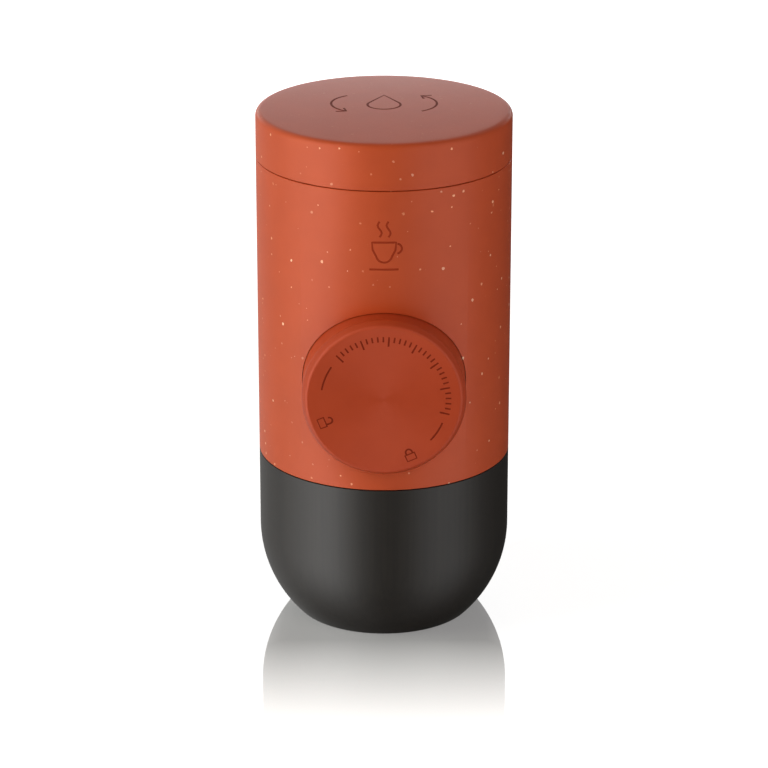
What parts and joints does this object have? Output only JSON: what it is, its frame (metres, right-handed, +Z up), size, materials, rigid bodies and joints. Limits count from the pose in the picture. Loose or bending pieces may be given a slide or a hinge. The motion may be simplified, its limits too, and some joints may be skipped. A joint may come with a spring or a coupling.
{
  "type": "handheld manual espresso maker",
  "caption": "Pump-operated pocket espresso maker: screw lid over a water tank, twist-lock pump button, filter group underneath and a cup that stores over it.",
  "frame": {"origin": "on the body's axis at the underside of the cup", "axes": "+Z up along the body's axis; the pump button faces -Y"},
  "size_m": [0.065, 0.0715, 0.135],
  "materials": {
    "shell_orange": "satin moulded plastic with fine peach flecks",
    "button_orange": "satin moulded plastic, no flecks",
    "charcoal": "fine matt texture",
    "black_plastic": "matt moulded plastic",
    "tank_clear": "clear tinted plastic",
    "silicone": "soft silicone",
    "seal_black": "soft rubber",
    "steel": "stainless steel",
    "brass_seat": "turned brass"
  },
  "bodies": {
    "main_body": {"body_shell": "shell_orange", "water_tank": "tank_clear", "intake_strainer": "steel", "button_guide": "black_plastic", "pump_housing": "black_plastic", "pump_screws": "steel", "foot_screws": "steel", "inlet_seal": "silicone", "outlet_seal": "silicone", "inlet_seat": "brass_seat", "outlet_seat": "brass_seat", "inlet_spring": "steel", "outlet_spring": "steel", "return_spring": "steel", "group_head": "black_plastic", "group_gasket": "silicone", "shower_screen": "steel", "shower_screw": "steel", "cup_grip_ring": "seal_black"},
    "lid_carrier": {"lid_seal": "silicone"},
    "lid": {"lid_cover": "shell_orange", "lid_liner": "black_plastic"},
    "plunger": {"plunger": "black_plastic", "plunger_seal": "seal_black"},
    "button": {"button_cap": "button_orange", "button_retainer": "black_plastic", "button_screws": "steel"},
    "basket": {"filter_basket": "steel"},
    "portafilter": {"portafilter": "black_plastic"},
    "cup": {"espresso_cup": "charcoal"},
    "inlet_valve": {"inlet_ball": "steel"},
    "outlet_valve": {"outlet_ball": "steel"}
  },
  "joints": [
    {"name": "lid_lift", "type": "slide", "parent": "main_body", "child": "lid_carrier", "axis": [0, 0, 1], "range_m": [0, 0.03]},
    {"name": "lid_turn", "type": "hinge", "parent": "lid_carrier", "child": "lid", "pos_m": [0, 0, 0.129], "axis": [0, 0, 1], "range_deg": [0, 1201]},
    {"name": "button_press", "type": "slide", "parent": "main_body", "child": "plunger", "axis": [0, -1, 0], "range_m": [0, 0.016], "deforming": ["return_spring"]},
    {"name": "button_twist", "type": "hinge", "parent": "plunger", "child": "button", "pos_m": [0, -0.0325, 0.071], "axis": [0, -1, 0], "range_deg": [0, 50]},
    {"name": "portafilter_drop", "type": "slide", "parent": "main_body", "child": "basket", "axis": [0, 0, -1], "range_m": [0, 0.006]},
    {"name": "portafilter_turn", "type": "hinge", "parent": "basket", "child": "portafilter", "pos_m": [0, 0, 0.03], "axis": [0, 0, -1], "range_deg": [0, 181]},
    {"name": "cup_pull", "type": "slide", "parent": "main_body", "child": "cup", "axis": [0, 0, -1], "range_m": [0, 0.05]},
    {"name": "inlet_open", "type": "slide", "parent": "main_body", "child": "inlet_valve", "axis": [0, 0, -1], "range_m": [0, 0.0015], "stiffness_N_per_m": 60, "springref_m": -0.001, "deforming": ["inlet_spring"]},
    {"name": "outlet_open", "type": "slide", "parent": "main_body", "child": "outlet_valve", "axis": [0, 0, -1], "range_m": [0, 0.0015], "stiffness_N_per_m": 60, "springref_m": -0.001, "deforming": ["outlet_spring"]}
  ],
  "couplings": [
    {"joint": "lid_turn", "follows": "lid_lift", "rad_per_m": 698.13},
    {"joint": "portafilter_turn", "follows": "portafilter_drop", "rad_per_m": 523.6}
  ]
}
